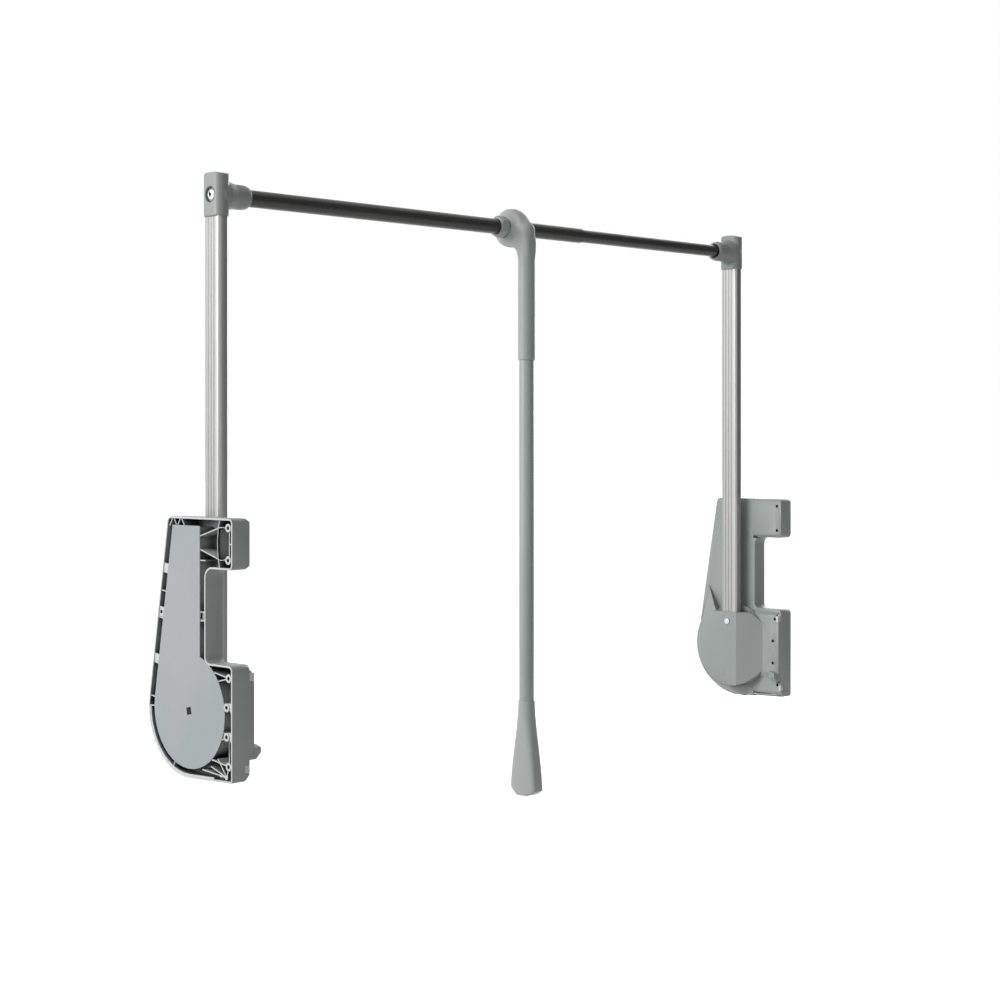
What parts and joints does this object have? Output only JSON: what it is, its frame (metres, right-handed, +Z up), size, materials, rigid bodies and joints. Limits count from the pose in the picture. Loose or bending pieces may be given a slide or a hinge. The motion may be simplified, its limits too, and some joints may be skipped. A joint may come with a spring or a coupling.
{
  "type": "pull down closet rod",
  "caption": "Wardrobe lift: sprung housings on the side walls, swinging flat oval arms, a telescopic hanging rail and a pull rod that brings the rail forward and down.",
  "frame": {"origin": "middle of the left housing's front wall, on its wall side rim, level with the pivots", "axes": "+X along the rail from the left wall to the right wall, +Y back into the wardrobe (the arms swing forward to -Y), +Z up"},
  "size_m": [1.292, 0.193, 0.958],
  "materials": {
    "housing_plastic": "grey green moulded plastic, fine satin grain",
    "cover_plate": "grey painted sheet steel",
    "dark_steel": "blackened steel",
    "bare_steel": "bare steel",
    "pale_plastic": "pale moulded plastic",
    "white_plastic": "white moulded plastic",
    "damper_black": "black moulded plastic",
    "rubber": "black rubber",
    "chrome": "bright chrome",
    "arm_aluminium": "satin anodised aluminium",
    "rail_bronze": "dark grey bronze lacquer, satin gloss",
    "handle_plastic": "grey green moulded plastic",
    "handle_tube": "grey green painted tube"
  },
  "bodies": {
    "left_side": {"left_housing": "housing_plastic", "left_cover_plate": "cover_plate", "left_pivot_axle": "dark_steel", "left_axle_ring": "dark_steel", "left_spring": "bare_steel", "left_spring_seat": "pale_plastic", "left_damper_body": "damper_black", "left_stop_bumper": "rubber", "left_arm_stop": "housing_plastic", "left_flange_pad": "white_plastic", "left_foot_pad": "white_plastic"},
    "left_arm": {"left_axle_bush": "pale_plastic", "left_drive_gear": "bare_steel", "left_boot": "housing_plastic", "left_boot_screw": "chrome", "left_arm_tube": "arm_aluminium", "left_top_connector": "housing_plastic", "left_connector_screw": "chrome", "left_bar_plug": "white_plastic", "outer_rail": "rail_bronze", "handle_collar": "handle_plastic"},
    "left_rack": {"left_rack": "bare_steel"},
    "left_damper": {"left_damper_pinion": "white_plastic"},
    "handle": {"handle_head": "handle_plastic", "handle_tube": "handle_tube", "handle_grip": "handle_plastic"},
    "right_side": {"right_housing": "housing_plastic", "right_cover_plate": "cover_plate", "right_pivot_axle": "dark_steel", "right_axle_ring": "dark_steel", "right_spring": "bare_steel", "right_spring_seat": "pale_plastic", "right_damper_body": "damper_black", "right_stop_bumper": "rubber", "right_arm_stop": "housing_plastic", "right_flange_pad": "white_plastic", "right_foot_pad": "white_plastic"},
    "right_arm": {"right_axle_bush": "pale_plastic", "right_drive_gear": "bare_steel", "right_boot": "housing_plastic", "right_boot_screw": "chrome", "right_arm_tube": "arm_aluminium", "right_top_connector": "housing_plastic", "right_connector_screw": "chrome", "right_bar_plug": "white_plastic", "inner_rail": "rail_bronze"},
    "right_rack": {"right_rack": "bare_steel"},
    "right_damper": {"right_damper_pinion": "white_plastic"}
  },
  "joints": [
    {"name": "swing", "type": "hinge", "parent": "left_side", "child": "left_arm", "pos_m": [0.049, 0.0976, 0], "axis": [1, 0, 0], "range_deg": [0, 105], "stiffness_Nm_per_rad": 12, "springref_deg": -28.65},
    {"name": "left_rack_travel", "type": "slide", "parent": "left_side", "child": "left_rack", "axis": [0, 0, 1], "range_m": [0, 0.047], "deforming": ["left_spring"]},
    {"name": "left_damper_spin", "type": "hinge", "parent": "left_side", "child": "left_damper", "pos_m": [0.015, 0.06524, -0.02351], "axis": [1, 0, 0], "range_deg": [-176, 1]},
    {"name": "handle_swing", "type": "hinge", "parent": "left_arm", "child": "handle", "pos_m": [0.6545, 0.0976, 0.728], "axis": [1, 0, 0], "continuous": true},
    {"name": "width_adjust", "type": "slide", "parent": "left_side", "child": "right_side", "axis": [1, 0, 0], "range_m": [-0.35, 0.1]},
    {"name": "right_swing", "type": "hinge", "parent": "right_side", "child": "right_arm", "pos_m": [1.243, 0.0976, 0], "axis": [1, 0, 0], "range_deg": [0, 105]},
    {"name": "right_rack_travel", "type": "slide", "parent": "right_side", "child": "right_rack", "axis": [0, 0, 1], "range_m": [0, 0.047], "deforming": ["right_spring"]},
    {"name": "right_damper_spin", "type": "hinge", "parent": "right_side", "child": "right_damper", "pos_m": [1.277, 0.06524, -0.02351], "axis": [1, 0, 0], "range_deg": [-176, 1]}
  ],
  "couplings": [
    {"joint": "left_rack_travel", "follows": "swing", "m_per_rad": 0.025},
    {"joint": "left_damper_spin", "follows": "swing", "ratio": -1.6667},
    {"joint": "right_swing", "follows": "swing", "ratio": 1},
    {"joint": "right_rack_travel", "follows": "swing", "m_per_rad": 0.025},
    {"joint": "right_damper_spin", "follows": "swing", "ratio": -1.6667}
  ]
}
